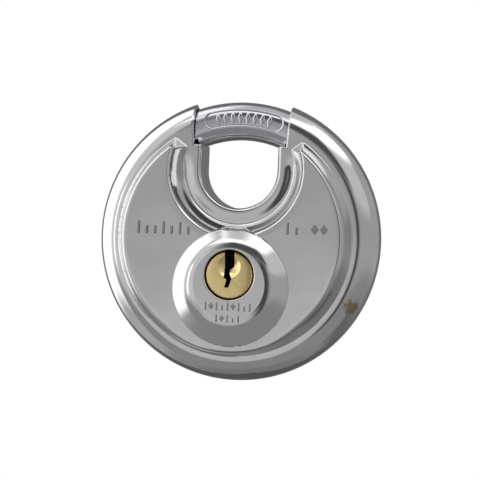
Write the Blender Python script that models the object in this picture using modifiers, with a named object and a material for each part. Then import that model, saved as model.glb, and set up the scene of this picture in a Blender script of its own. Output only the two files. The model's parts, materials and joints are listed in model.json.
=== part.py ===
"""Disc padlock: two pressed steel half-shells round a lock body, closed by a crescent
shackle that turns about the disc's centre.

Every piece is modelled in the face frame: x to the right, y up, z out of the front
face, and the disc's centre at the origin. The empty padlock_frame stands that frame
upright, with the shackle's bearing point at the world origin, so the front faces -Y.

A pin on the plug's crank runs in a radial slot of the shackle's lug. The crank is as
long as the plug stands off the disc's centre, so its pin passes through that centre's
circle and the shackle turns by exactly half of the key's angle.
"""

import math

import bmesh
import bpy
from mathutils import Matrix, Vector

MM = 0.001
GAP = 0.3 * MM  # between pieces that touch or run on each other

# Case: pressed sheet, with a half-round rim and a raised face
CASE_RADIUS = 35.0 * MM
RIM_RADIUS = 6.2 * MM
CROWN_RADIUS = CASE_RADIUS - RIM_RADIUS
SHEET = 1.0 * MM
SEAM_Z = GAP / 2
FACE_RADIUS = 26.3 * MM
FACE_HEIGHT = 12.0 * MM

# Boss round the plug, a cone that leans a little
BOSS_BASE_RADIUS = 14.0 * MM
BOSS_BASE_Y = -12.1 * MM
BOSS_TOP_RADIUS = 10.0 * MM
BOSS_TOP_Y = -11.4 * MM
BOSS_HEIGHT = 14.5 * MM
PLUG_HOLE_RADIUS = 6.4 * MM

# U opening, whose wall rolls over into the face
U_RADIUS = 9.45 * MM
U_CENTRE_Y = 16.8 * MM
U_STRAIGHT = 1.75 * MM
U_LIP_RADIUS = RIM_RADIUS - U_STRAIGHT
U_FACE_RADIUS = 15.6 * MM
U_TOP_Y = 45.0 * MM

# Mouths, where the shackle leaves the case
MOUTH_LEDGE_Y = 21.6 * MM
MOUTH_INNER_X = 11.4 * MM
MOUTH_OUTER_X = 12.3 * MM

# Shackle: round bar bent to a crescent, with flats on its front and back
BAR_RADIUS = 4.7 * MM
BAR_HALF_DEPTH = 4.25 * MM
SHACKLE_RADIUS = CASE_RADIUS - SHEET - GAP - BAR_RADIUS
SHACKLE_INNER = SHACKLE_RADIUS - BAR_RADIUS
TOE_ANGLE = -32.0
HEEL_ANGLE = 166.0
CHANNEL_HALF_DEPTH = RIM_RADIUS - SHEET

# Plug and cylinder
PLUG_Y = -9.0 * MM
PLUG_RADIUS = 5.9 * MM
PLUG_FRONT = 14.2 * MM
PLUG_BACK = -3.2 * MM
DISH_RADIUS = 2.8 * MM
DISH_SPHERE = 4.0 * MM
DISH_Y = 2.1 * MM
HOUSING_RADIUS = 7.6 * MM
HOUSING_FRONT = 11.6 * MM
HOUSING_BACK = -3.0 * MM
BIBLE_HALF_WIDTH = 3.6 * MM
BIBLE_BOTTOM_Y = -22.6 * MM

# Pin stacks, one behind another under the keyway
PIN_COUNT = 4
PIN_PITCH = 3.4 * MM
FIRST_PIN_Z = 9.4 * MM
PIN_RADIUS = 1.1 * MM
CHAMBER_RADIUS = PIN_RADIUS + GAP
KEY_PIN_LENGTHS = (3.6 * MM, 5.0 * MM, 4.2 * MM, 5.4 * MM)
KEY_PIN_FOOT = -5.6 * MM
DRIVER_TOP_Y = -15.2 * MM
DRIVER_LENGTH = 3.2 * MM
SPRING_WIRE = 0.18 * MM
SPRING_RADIUS = 0.85 * MM
SPRING_TURNS = 4.5

# Drive: crank on the plug's square tail, and the shackle's slotted lug
CRANK_LENGTH = abs(PLUG_Y)
KEY_START = 60.0  # crank's angle from straight down, with the shackle shut
LUG_ANGLE = 180.0 - KEY_START / 2
TAIL_RADIUS = 3.0 * MM
TAIL_HALF_SIDE = 2.0 * MM
TAIL_SHOULDER = -4.5 * MM
TAIL_END = -7.1 * MM
SCREW_RADIUS = 0.9 * MM
SCREW_HEAD_RADIUS = 2.2 * MM
SCREW_END = -4.2 * MM
SCREW_HEAD_FRONT = TAIL_END - GAP
SCREW_HEAD_BACK = SCREW_HEAD_FRONT - 1.2 * MM
CLIP_RADIUS = 6.9 * MM
CLIP_THICKNESS = 0.8 * MM
CLIP_HALF_OPENING = 24.0
CRANK_HUB_RADIUS = 4.6 * MM
CRANK_EYE_RADIUS = 2.8 * MM
CRANK_PIN_RADIUS = 1.25 * MM
CRANK_FRONT = -4.9 * MM
CRANK_BACK = -6.9 * MM
CRANK_LEAN = 75.0
LUG_FRONT = -7.3 * MM
LUG_BACK = -9.6 * MM
LUG_INNER = 12.8 * MM
LUG_OUTER = 25.9 * MM
LUG_HALF_WIDTH = 4.4 * MM
NECK_INNER = SHACKLE_INNER + 0.2 * MM
NECK_FRONT = -1.5 * MM

# Lock body between the shells
CHASSIS_RADIUS = 24.0 * MM
CHASSIS_HALF_DEPTH = 4.2 * MM
CHASSIS_U_RADIUS = 11.9 * MM
DRILL_PLATE_RADIUS = 8.6 * MM
DRILL_PLATE_THICKNESS = 1.3 * MM
NOSE_RING_RADIUS = 6.9 * MM
NOSE_RING_THICKNESS = 1.0 * MM
STUD_RADIUS = 2.0 * MM
STUD_PLACES = [(side * x * MM, y * MM) for x, y in ((19.0, -4.0), (18.5, 8.5)) for side in (-1, 1)]

RIM_STEPS = 56
ARC_STEPS = 6


# ---------------------------------------------------------------- helpers


def clear_scene():
    for obj in list(bpy.data.objects):
        bpy.data.objects.remove(obj, do_unlink=True)


def new_collection(name):
    collection = bpy.data.collections.new(name)
    bpy.context.scene.collection.children.link(collection)
    return collection


def new_empty(name, collection, parent=None, location=(0, 0, 0)):
    empty = bpy.data.objects.new(name, None)
    empty.empty_display_size = 5 * MM
    empty.location = location
    empty.parent = parent
    collection.objects.link(empty)
    return empty


def new_material(name, color, metallic, roughness):
    material = bpy.data.materials.new(name)
    material.use_nodes = True
    shader = material.node_tree.nodes["Principled BSDF"]
    shader.inputs["Base Color"].default_value = (*color, 1.0)
    shader.inputs["Metallic"].default_value = metallic
    shader.inputs["Roughness"].default_value = roughness
    material.diffuse_color = (*color, 1.0)
    return material


class Bench:
    """Where new pieces go: a parent empty, and the collections for parts and cutters."""

    def __init__(self, parts, cutters, parent):
        self.parts = parts
        self.cutters = cutters
        self.parent = parent

    def place(self, name, data, material=None):
        """A part when it has a material, and a cutter that isn't rendered when it has none."""
        obj = bpy.data.objects.new(name, data)
        obj.parent = self.parent
        if material is None:
            self.cutters.objects.link(obj)
            obj.hide_render = True
            obj.display_type = "WIRE"
        else:
            self.parts.objects.link(obj)
            data.materials.append(material)
        return obj

    def from_bmesh(self, name, bm, material=None):
        mesh = bpy.data.meshes.new(name)
        bm.to_mesh(mesh)
        bm.free()
        mesh.shade_smooth()
        mesh.set_sharp_from_angle(angle=math.radians(35))
        return self.place(name, mesh, material)

    def turned(self, name, profile, material=None, steps=RIM_STEPS, closed=False):
        """A profile of (radius, z) points turned about z. It runs down its outer side."""
        count = len(profile)
        edges = [(i, i + 1) for i in range(count - 1)]
        if closed:
            edges.append((count - 1, 0))
        mesh = bpy.data.meshes.new(name)
        mesh.from_pydata([(radius, 0, z) for radius, z in profile], edges, [])
        obj = self.place(name, mesh, material)
        screw = obj.modifiers.new("turn", "SCREW")
        screw.steps = steps
        screw.render_steps = steps
        screw.use_merge_vertices = True
        screw.merge_threshold = 1e-6
        return obj

    def cylinder(self, name, radius, low, high, material=None, at=(0, 0), vertices=40):
        """A cylinder along z from low to high, centred on the point at."""
        bm = bmesh.new()
        bmesh.ops.create_cone(
            bm,
            cap_ends=True,
            segments=vertices,
            radius1=radius,
            radius2=radius,
            depth=high - low,
            matrix=Matrix.Translation((*at, (low + high) / 2)),
        )
        return self.from_bmesh(name, bm, material)

    def upright_pin(self, name, radius, low, high, z, material=None, tip=0.0, vertices=20):
        """A round pin along y from low to high, with a cone of length tip on its upper end."""
        bm = bmesh.new()
        bmesh.ops.create_cone(
            bm, cap_ends=True, segments=vertices, radius1=radius, radius2=radius, depth=high - low
        )
        if tip:
            crown = [face for face in bm.faces if face.normal.z > 0.9]
            cone = bmesh.ops.inset_region(bm, faces=crown, thickness=radius * 0.7)
            inner = {vertex for face in crown for vertex in face.verts}
            outer = {vertex for face in cone["faces"] for vertex in face.verts} - inner
            bmesh.ops.translate(bm, verts=list(outer), vec=(0, 0, -tip))
        turn = Matrix.Rotation(math.radians(-90), 4, "X")
        bmesh.ops.transform(bm, matrix=Matrix.Translation((0, (low + high) / 2, z)) @ turn, verts=bm.verts)
        return self.from_bmesh(name, bm, material)

    def plate(self, name, outlines, low, high, material=None):
        """Flat outlines, the later ones as holes in the first, thickened from z low to z high."""
        curve = bpy.data.curves.new(name, "CURVE")
        curve.dimensions = "2D"
        curve.fill_mode = "BOTH"
        curve.extrude = (high - low) / 2
        for outline in outlines:
            spline = curve.splines.new("POLY")
            spline.points.add(len(outline) - 1)
            for point, (x, y) in zip(spline.points, outline):
                point.co = (x, y, 0, 1)
            spline.use_cyclic_u = True
        source = bpy.data.objects.new(name, curve)
        self.cutters.objects.link(source)
        graph = bpy.context.evaluated_depsgraph_get()
        mesh = bpy.data.meshes.new_from_object(source.evaluated_get(graph))
        bpy.data.objects.remove(source)
        bm = bmesh.new()
        bm.from_mesh(mesh)
        bmesh.ops.remove_doubles(bm, verts=bm.verts, dist=1e-6)
        bmesh.ops.translate(bm, verts=bm.verts, vec=(0, 0, (low + high) / 2))
        bpy.data.meshes.remove(mesh)
        return self.from_bmesh(name, bm, material)

    def loft(self, name, rings, material=None):
        """A closed solid through rings of (outline, z), lowest first, with equal point counts."""
        bm = bmesh.new()
        loops = [[bm.verts.new((x, y, z)) for x, y in outline] for outline, z in rings]
        for lower, upper in zip(loops, loops[1:]):
            for i in range(len(lower)):
                j = (i + 1) % len(lower)
                bm.faces.new((lower[i], lower[j], upper[j], upper[i]))
        bm.faces.new(list(reversed(loops[0])))
        bm.faces.new(loops[-1])
        bmesh.ops.recalc_face_normals(bm, faces=bm.faces)
        return self.from_bmesh(name, bm, material)


def boolean(target, operation, *others):
    for other in others:
        modifier = target.modifiers.new(f"{operation.lower()} {other.name}", "BOOLEAN")
        modifier.operation = operation
        modifier.object = other


def polar(radius, degrees, centre=(0.0, 0.0)):
    """The point at this radius and angle, counted clockwise from straight up."""
    angle = math.radians(degrees)
    return (centre[0] + radius * math.sin(angle), centre[1] + radius * math.cos(angle))


def arc(radius, start, end, steps, centre=(0.0, 0.0)):
    """Points from start to end degrees, both included."""
    return [polar(radius, start + (end - start) * i / steps, centre) for i in range(steps + 1)]


def circle(radius, steps=40, centre=(0.0, 0.0)):
    return arc(radius, 0, 360 - 360 / steps, steps - 1, centre)


def u_outline(radius):
    """The U opening's outline at this half-width: sides, and a half circle below."""
    bottom = arc(radius, 90, 270, 24, (0.0, U_CENTRE_Y))
    return [(radius, U_TOP_Y), *bottom, (-radius, U_TOP_Y)]


def keyhole_outline(radius, half_width, bottom_y):
    """The cylinder housing's outline: a circle round the plug, and the pin block below it."""
    side = math.degrees(math.asin(half_width / radius))
    round_part = arc(radius, 180 + side, 540 - side, 32, (0.0, PLUG_Y))
    return [(half_width, bottom_y), (-half_width, bottom_y), *round_part]


# ---------------------------------------------------------------- case


def outer_profile():
    """Half of the case's outside, from the middle of the face to the seam."""
    rim = [
        (CROWN_RADIUS + RIM_RADIUS * math.sin(a), RIM_RADIUS * math.cos(a))
        for a in (math.radians(90 * i / ARC_STEPS) for i in range(ARC_STEPS))
    ]
    return [(0, FACE_HEIGHT), (FACE_RADIUS, FACE_HEIGHT), *rim, (CASE_RADIUS, SEAM_Z), (0, SEAM_Z)]


def inner_profile():
    """The same, one sheet thickness further in, and past the seam so that it cuts through."""
    radius = RIM_RADIUS - SHEET
    rim = [
        (CROWN_RADIUS + radius * math.sin(a), radius * math.cos(a))
        for a in (math.radians(90 * i / ARC_STEPS) for i in range(ARC_STEPS + 1))
    ]
    slope_top = (FACE_RADIUS - 0.7 * SHEET, FACE_HEIGHT - SHEET)
    slope_foot = (CROWN_RADIUS - 0.7 * SHEET, radius)
    below = -2 * SHEET
    return [(0, slope_top[1]), slope_top, slope_foot, *rim, (CASE_RADIUS - SHEET, below), (0, below)]


def u_widths(grown):
    """(z, half-width) of the U opening from below the seam to above the face.

    grown is how far into the metal the surface lies: 0 is the visible wall.
    """
    centre_x = U_RADIUS + U_LIP_RADIUS
    lip = U_LIP_RADIUS - grown
    turns = [math.radians(90 * i / ARC_STEPS) for i in range(ARC_STEPS + 1)]
    rolled = [(U_STRAIGHT + lip * math.sin(a), centre_x - lip * math.cos(a)) for a in turns]
    slope = (U_FACE_RADIUS - centre_x) / (FACE_HEIGHT - RIM_RADIUS)
    top_z = FACE_HEIGHT + 5 * MM
    foot = (RIM_RADIUS - 0.3 * grown, centre_x + 0.95 * grown)
    top = (top_z, foot[1] + slope * (top_z - foot[0]))
    if grown:
        return [(-3 * SHEET, U_RADIUS + grown), *rolled, foot, top]
    return [(-2 * SHEET, U_RADIUS), *rolled, top]


def u_solid(bench, name, grown=0.0):
    return bench.loft(name, [(u_outline(width), z) for z, width in u_widths(grown)])


def boss_solid(bench, name, grown):
    """The boss, standing in the face, or its hollow when grown is one sheet thickness."""
    steps = 56
    base = circle(BOSS_BASE_RADIUS - 1.1 * grown, steps, (0.0, BOSS_BASE_Y))
    top = circle(BOSS_TOP_RADIUS - 1.1 * grown, steps, (0.0, BOSS_TOP_Y))
    low = FACE_HEIGHT - 1.5 * MM - 1.5 * grown
    return bench.loft(name, [(base, low), (base, FACE_HEIGHT - 0.8 * grown), (top, BOSS_HEIGHT - grown)])


def mouth_cutter(bench, name):
    """The wedge between the two mouths, above the ledges of the U opening's wall."""
    rise = U_TOP_Y - MOUTH_LEDGE_Y
    spread = (MOUTH_OUTER_X - MOUTH_INNER_X) / (CASE_RADIUS - MOUTH_LEDGE_Y)
    top_x = MOUTH_INNER_X + spread * rise
    outline = [
        (MOUTH_INNER_X, MOUTH_LEDGE_Y),
        (-MOUTH_INNER_X, MOUTH_LEDGE_Y),
        (-top_x, U_TOP_Y),
        (top_x, U_TOP_Y),
    ]
    return bench.plate(name, [outline], -2 * SHEET, FACE_HEIGHT + 5 * MM)


def channel_cutter(bench, name):
    """The ring-shaped way that the shackle turns in, which opens the mouths."""
    half = CHANNEL_HALF_DEPTH - 0.2 * MM
    inner = SHACKLE_INNER - GAP
    profile = [(inner, half)]
    for i in range(ARC_STEPS + 1):
        a = math.radians(90 * i / ARC_STEPS)
        profile.append((CROWN_RADIUS + (half + 0.1 * MM) * math.sin(a), half * math.cos(a)))
    profile += [(profile[-1][0], -2 * SHEET), (inner, -2 * SHEET)]
    return bench.turned(name, profile, closed=True)


def half_shell(bench, name, material, with_boss):
    """One pressed half, front side up: the back half is the same, turned over and with no boss."""
    shell = bench.turned(name, outer_profile(), material)
    hollow = bench.turned(f"{name}_hollow", inner_profile())
    if with_boss:
        boolean(shell, "UNION", boss_solid(bench, f"{name}_boss", 0.0))
        boolean(hollow, "UNION", boss_solid(bench, f"{name}_boss_hollow", SHEET))
    boolean(hollow, "DIFFERENCE", u_solid(bench, f"{name}_u_wall", SHEET))
    cutters = [
        hollow,
        u_solid(bench, f"{name}_u_opening"),
        channel_cutter(bench, f"{name}_channel"),
        mouth_cutter(bench, f"{name}_mouths"),
    ]
    if with_boss:
        past_boss = BOSS_HEIGHT + 2 * MM
        cutters.append(
            bench.cylinder(
                f"{name}_plug_hole", PLUG_HOLE_RADIUS, FACE_HEIGHT, past_boss, at=(0, PLUG_Y), vertices=48
            )
        )
    boolean(shell, "DIFFERENCE", *cutters)
    return shell


# ---------------------------------------------------------------- shackle


def shackle(bench, material):
    """The crescent, its neck and its slotted lug, all one forging."""
    section = []
    for i in range(24):
        a = math.radians(90 - 15 * i)
        z = max(-BAR_HALF_DEPTH, min(BAR_HALF_DEPTH, BAR_RADIUS * math.sin(a)))
        section.append((SHACKLE_RADIUS + BAR_RADIUS * math.cos(a), z))
    bar = bench.turned("shackle", section, material, steps=72, closed=True)

    far = 2 * CASE_RADIUS
    waste = [(0.0, 0.0), *arc(far, HEEL_ANGLE, 360 + TOE_ANGLE, 8)]
    boolean(bar, "DIFFERENCE", bench.plate("shackle_waste", [waste], -2 * RIM_RADIUS, 2 * RIM_RADIUS))

    half_angle = math.degrees(LUG_HALF_WIDTH / LUG_OUTER)
    first, last = LUG_ANGLE - half_angle, LUG_ANGLE + half_angle
    neck = arc(NECK_INNER, first, last, 6) + arc(LUG_OUTER - 0.2 * MM, last, first, 6)
    boolean(bar, "UNION", bench.plate("shackle_neck", [neck], LUG_FRONT - 0.5 * MM, NECK_FRONT))

    turn = Matrix.Rotation(math.radians(-LUG_ANGLE), 2)
    outer = [(LUG_OUTER * math.sin(a), LUG_OUTER * math.cos(a)) for a in
             (math.radians(half_angle * (1 - i / 3)) for i in range(7))]
    nose = arc(LUG_HALF_WIDTH, 270, 90, 12, (0.0, LUG_INNER + LUG_HALF_WIDTH))
    lug = [tuple(turn @ Vector(point)) for point in outer + nose]
    boolean(bar, "UNION", bench.plate("shackle_lug", [lug], LUG_BACK, LUG_FRONT))

    slot_half = CRANK_PIN_RADIUS + GAP
    near = 2 * CRANK_LENGTH * math.cos(math.radians(KEY_START / 2))
    ends = arc(slot_half, 90, 270, 10, (0.0, near)) + arc(slot_half, 270, 450, 10, (0.0, 2 * CRANK_LENGTH))
    slot = [tuple(turn @ Vector(point)) for point in ends]
    boolean(bar, "DIFFERENCE", bench.plate("shackle_slot", [slot], LUG_BACK - 1 * MM, LUG_FRONT + 1 * MM))
    return bar


# ---------------------------------------------------------------- cylinder


def pin_z(index):
    return FIRST_PIN_Z - index * PIN_PITCH


def cylinder_housing(bench, material):
    outline = keyhole_outline(HOUSING_RADIUS, BIBLE_HALF_WIDTH, BIBLE_BOTTOM_Y)
    bore = circle(PLUG_RADIUS + GAP, 48, (0.0, PLUG_Y))
    housing = bench.plate("cylinder_housing", [outline, bore], HOUSING_BACK, HOUSING_FRONT, material)
    low, high = BIBLE_BOTTOM_Y - 1 * MM, PLUG_Y - PLUG_RADIUS + 1 * MM
    for i in range(PIN_COUNT):
        drill = bench.upright_pin(f"housing_chamber_{i + 1}", CHAMBER_RADIUS, low, high, pin_z(i))
        boolean(housing, "DIFFERENCE", drill)


def driver_stacks(bench, steel, spring_steel):
    """Driver pins and their springs, in the housing's chambers."""
    bottom = DRIVER_TOP_Y - DRIVER_LENGTH
    for i in range(PIN_COUNT):
        bench.upright_pin(f"driver_pin_{i + 1}", PIN_RADIUS, bottom, DRIVER_TOP_Y, pin_z(i), steel)
        coil_spring(bench, f"pin_spring_{i + 1}", BIBLE_BOTTOM_Y, bottom - GAP, pin_z(i), spring_steel)


def coil_spring(bench, name, low, high, z, material):
    """A helix of wire along y, its ends closed by caps."""
    curve = bpy.data.curves.new(name, "CURVE")
    curve.dimensions = "3D"
    curve.bevel_depth = SPRING_WIRE
    curve.bevel_resolution = 1
    curve.use_fill_caps = True
    count = int(SPRING_TURNS * 9) + 1
    start, end = low + SPRING_WIRE, high - SPRING_WIRE
    spline = curve.splines.new("POLY")
    spline.points.add(count - 1)
    for i, point in enumerate(spline.points):
        share = i / (count - 1)
        angle = 2 * math.pi * SPRING_TURNS * share
        x = SPRING_RADIUS * math.cos(angle)
        point.co = (x, start + (end - start) * share, z + SPRING_RADIUS * math.sin(angle), 1)
    return bench.place(name, curve, material)


def keyway_outline():
    """The keyway's outline from the plug's axis: wide at the top, then two jogs."""
    right = [(1.16, 8.0), (1.16, 2.0), (0.08, 1.2), (0.0, 0.4), (0.67, -0.95), (-0.06, -3.05)]
    left = [(-1.04, -3.05), (-0.6, -1.15), (-1.26, -0.65), (-1.22, 1.4), (-1.2, 8.0)]
    return [(x * MM, y * MM) for x, y in right + left]


def plug(bench, material):
    """The plug, turned about its own axis: keyway, key guide dish, pin chambers and tail."""
    body = bench.cylinder("plug", PLUG_RADIUS, PLUG_BACK, PLUG_FRONT, material, vertices=48)
    neck = bench.cylinder("plug_neck", TAIL_RADIUS, TAIL_SHOULDER, PLUG_BACK + 1 * MM, vertices=32)
    boolean(body, "UNION", neck)
    tail = bench.plate("plug_tail", [square(TAIL_HALF_SIDE)], TAIL_END, TAIL_SHOULDER + 1 * MM)
    boolean(body, "UNION", tail)

    dish = bmesh.new()
    lift = math.sqrt(DISH_SPHERE**2 - DISH_RADIUS**2)
    middle = Matrix.Translation((0, DISH_Y, PLUG_FRONT + lift))
    bmesh.ops.create_uvsphere(dish, u_segments=24, v_segments=12, radius=DISH_SPHERE, matrix=middle)
    cutters = [
        bench.from_bmesh("plug_dish", dish),
        bench.plate("plug_keyway", [keyway_outline()], HOUSING_BACK + 1 * MM, PLUG_FRONT + 1 * MM),
        bench.cylinder("plug_screw_hole", SCREW_RADIUS + GAP, TAIL_END - 1 * MM, SCREW_END + GAP, vertices=20),
    ]
    low, high = -PLUG_RADIUS - 1 * MM, 0.6 * MM
    for i in range(PIN_COUNT):
        cutters.append(bench.upright_pin(f"plug_chamber_{i + 1}", CHAMBER_RADIUS, low, high, pin_z(i)))
    boolean(body, "DIFFERENCE", *cutters)


def key_pins(bench, material):
    """Pins that touch the key, cut to different lengths, their feet at the shear line."""
    for i, length in enumerate(KEY_PIN_LENGTHS):
        top = KEY_PIN_FOOT + length
        bench.upright_pin(
            f"key_pin_{i + 1}", PIN_RADIUS, KEY_PIN_FOOT, top, pin_z(i), material, tip=0.5 * MM
        )


# ---------------------------------------------------------------- drive


def square(half_side):
    """A square turned so that one side faces the crank's pin."""
    return arc(half_side * math.sqrt(2), 135 - KEY_START, 405 - KEY_START, 3)


def drive_parts(bench, steel):
    """Pieces on the plug's tail: retaining clip, crank, crank pin and screw."""
    direction = 180 - KEY_START
    turn = Matrix.Rotation(math.radians(-direction), 2)

    start, end = CLIP_HALF_OPENING, 360 - CLIP_HALF_OPENING
    ring = arc(CLIP_RADIUS, start, end, 32) + arc(TAIL_RADIUS + GAP, end, start, 24)
    clip_front = PLUG_BACK - GAP
    bench.plate("plug_clip", [ring], clip_front - CLIP_THICKNESS, clip_front, steel)

    hub = arc(CRANK_HUB_RADIUS, CRANK_LEAN, 360 - CRANK_LEAN, 16)
    eye = arc(CRANK_EYE_RADIUS, 360 - CRANK_LEAN, 360 + CRANK_LEAN, 12, (0.0, CRANK_LENGTH))
    outline = hub + eye
    arm = [tuple(turn @ Vector(point)) for point in outline]
    pin_at = polar(CRANK_LENGTH, direction)
    holes = [square(TAIL_HALF_SIDE + GAP), circle(CRANK_PIN_RADIUS + GAP, 24, pin_at)]
    bench.plate("drive_crank", [arm, *holes], CRANK_BACK, CRANK_FRONT, steel)
    bench.cylinder("crank_pin", CRANK_PIN_RADIUS, LUG_BACK, CRANK_FRONT, steel, at=pin_at, vertices=24)

    screw = bench.cylinder(
        "crank_screw", SCREW_HEAD_RADIUS, SCREW_HEAD_BACK, SCREW_HEAD_FRONT, steel, vertices=28
    )
    shank = bench.cylinder("screw_shank", SCREW_RADIUS, SCREW_HEAD_FRONT - 0.5 * MM, SCREW_END, vertices=20)
    half_slot = 0.35 * MM
    reach = 3 * MM
    blade = [(reach, half_slot), (reach, -half_slot), (-reach, -half_slot), (-reach, half_slot)]
    boolean(screw, "UNION", shank)
    slot_floor = SCREW_HEAD_BACK + 0.6 * MM
    boolean(screw, "DIFFERENCE", bench.plate("screw_slot", [blade], SCREW_HEAD_BACK - 1 * MM, slot_floor))


# ---------------------------------------------------------------- lock body


def lock_body(bench, body_steel, steel, brass):
    """Fixed pieces inside the shells: chassis, studs, drill plate, nose ring and chamber cover."""
    depth = CHASSIS_HALF_DEPTH
    chassis = bench.cylinder("chassis", CHASSIS_RADIUS, -depth, depth, body_steel, vertices=72)
    pocket = keyhole_outline(HOUSING_RADIUS + GAP, BIBLE_HALF_WIDTH + GAP, -CASE_RADIUS)
    cutters = [
        bench.plate("chassis_pocket", [pocket], -2 * depth, 2 * depth),
        bench.plate("chassis_u", [u_outline(CHASSIS_U_RADIUS)], -2 * depth, 2 * depth),
    ]
    stud_end = FACE_HEIGHT - SHEET - GAP
    for i, at in enumerate(STUD_PLACES):
        hole = bench.cylinder(
            f"stud_hole_{i + 1}", STUD_RADIUS + GAP, -2 * depth, 2 * depth, at=at, vertices=24
        )
        cutters.append(hole)
        bench.cylinder(f"case_stud_{i + 1}", STUD_RADIUS, -stud_end, stud_end, steel, at=at, vertices=24)
    boolean(chassis, "DIFFERENCE", *cutters)

    behind = HOUSING_FRONT + GAP
    front = behind + DRILL_PLATE_THICKNESS
    plate = bench.cylinder(
        "drill_plate", DRILL_PLATE_RADIUS, behind, front, steel, at=(0, BOSS_TOP_Y), vertices=48
    )
    ring_space = bench.cylinder(
        "drill_plate_hole", NOSE_RING_RADIUS + GAP, behind - 1 * MM, BOSS_HEIGHT, at=(0, PLUG_Y), vertices=40
    )
    boolean(plate, "DIFFERENCE", ring_space)
    ring = [circle(NOSE_RING_RADIUS, 40, (0.0, PLUG_Y)), circle(PLUG_RADIUS + GAP, 40, (0.0, PLUG_Y))]
    bench.plate("nose_ring", ring, behind, behind + NOSE_RING_THICKNESS, brass)

    cover_half = BIBLE_HALF_WIDTH - GAP
    top_y, bottom_y = BIBLE_BOTTOM_Y - GAP, BIBLE_BOTTOM_Y - 1.1 * MM
    cover = [(cover_half, top_y), (cover_half, bottom_y), (-cover_half, bottom_y), (-cover_half, top_y)]
    bench.plate("chamber_cover", [cover], HOUSING_BACK, FACE_HEIGHT - SHEET - GAP, brass)


# ---------------------------------------------------------------- assembly


def build():
    clear_scene()
    parts = new_collection("disc_padlock")
    cutters = new_collection("cutters")

    stainless = new_material("stainless_case", (0.72, 0.71, 0.70), 1.0, 0.12)
    hardened = new_material("hardened_shackle", (0.62, 0.61, 0.62), 1.0, 0.18)
    brass = new_material("brass", (0.78, 0.62, 0.30), 1.0, 0.25)
    body_steel = new_material("sintered_body", (0.50, 0.50, 0.51), 0.9, 0.5)
    steel = new_material("hardened_steel", (0.45, 0.45, 0.46), 1.0, 0.35)
    spring_steel = new_material("spring_steel", (0.60, 0.60, 0.60), 1.0, 0.30)

    frame = new_empty("padlock_frame", parts, location=(0, 0, -SHACKLE_INNER))
    frame.rotation_euler = (math.radians(90), 0, 0)
    shackle_axis = new_empty("shackle_axis", parts, frame)
    plug_axis = new_empty("plug_axis", parts, frame, (0, PLUG_Y, 0))
    back_axis = new_empty("back_axis", parts, frame)
    back_axis.rotation_euler = (0, math.radians(180), 0)
    bpy.context.view_layer.update()

    case = Bench(parts, cutters, frame)
    half_shell(case, "front_shell", stainless, with_boss=True)
    half_shell(Bench(parts, cutters, back_axis), "back_shell", stainless, with_boss=False)
    lock_body(case, body_steel, steel, brass)
    cylinder_housing(case, brass)
    driver_stacks(case, steel, spring_steel)
    shackle(Bench(parts, cutters, shackle_axis), hardened)

    core = Bench(parts, cutters, plug_axis)
    plug(core, brass)
    key_pins(core, brass)
    drive_parts(core, steel)


build()
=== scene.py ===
"""The looks of the disc padlock: polished pressed shells, a round shackle bar with a sunk
panel and a machined brass plug, over a pale floor and before a white background. A light
tent that only reflections show gives the steel its bands.

The shapes are worked out in the face frame, in millimetres: x to the right, y up and z
out of the front face, with the disc's centre at the origin.
"""

import json
import math

import bmesh
import bpy
import numpy as np
from mathutils import Matrix, Vector
from mathutils.geometry import delaunay_2d_cdt


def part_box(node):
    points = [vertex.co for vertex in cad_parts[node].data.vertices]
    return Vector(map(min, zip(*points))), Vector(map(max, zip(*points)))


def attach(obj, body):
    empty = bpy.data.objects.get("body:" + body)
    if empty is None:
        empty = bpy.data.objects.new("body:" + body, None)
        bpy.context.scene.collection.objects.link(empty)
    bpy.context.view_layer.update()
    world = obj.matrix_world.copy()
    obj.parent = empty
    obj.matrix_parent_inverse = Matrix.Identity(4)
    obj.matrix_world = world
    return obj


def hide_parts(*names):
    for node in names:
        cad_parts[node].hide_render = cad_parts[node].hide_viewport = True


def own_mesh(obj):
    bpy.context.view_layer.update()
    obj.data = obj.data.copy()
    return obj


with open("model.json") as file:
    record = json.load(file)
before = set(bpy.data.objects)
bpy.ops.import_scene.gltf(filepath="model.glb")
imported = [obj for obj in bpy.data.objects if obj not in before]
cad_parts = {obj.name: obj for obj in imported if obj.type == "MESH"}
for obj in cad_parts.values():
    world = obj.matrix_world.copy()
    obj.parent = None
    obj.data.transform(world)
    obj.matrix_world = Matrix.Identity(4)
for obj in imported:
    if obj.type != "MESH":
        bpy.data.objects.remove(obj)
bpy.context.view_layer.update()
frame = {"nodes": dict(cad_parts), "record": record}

MM = 0.001

# From the frame: the CAD pieces' sizes and places, with the boss and the plug a little smaller
BOSS_LOWER = 0.12
PLUG_CLEARANCE = 0.15
CASE_LOW, CASE_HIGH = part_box("front_shell")
CASE_R = (CASE_HIGH.x - CASE_LOW.x) / 2 / MM
CENTRE_Z = CASE_LOW.z / MM + CASE_R
BOSS_TOP = -CASE_LOW.y / MM - BOSS_LOWER
FACE_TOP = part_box("back_shell")[1].y / MM
SHACKLE_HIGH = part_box("shackle")[1].z / MM - CENTRE_Z
PLUG_LOW, PLUG_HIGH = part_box("plug")
PLUG_R = (PLUG_HIGH.x - PLUG_LOW.x) / 2 / MM - PLUG_CLEARANCE
PLUG_Y = (PLUG_HIGH.z + PLUG_LOW.z) / 2 / MM - CENTRE_Z
PLUG_TOP = -PLUG_LOW.y / MM
PLUG_BACK = -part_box("cylinder_housing")[1].y / MM

# The pressed sheet and its round rim, in millimetres like all that follows
SHEET = 1.0
RIM_R = 6.2
CROWN_R = CASE_R - RIM_R
SEAM = 0.06

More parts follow.
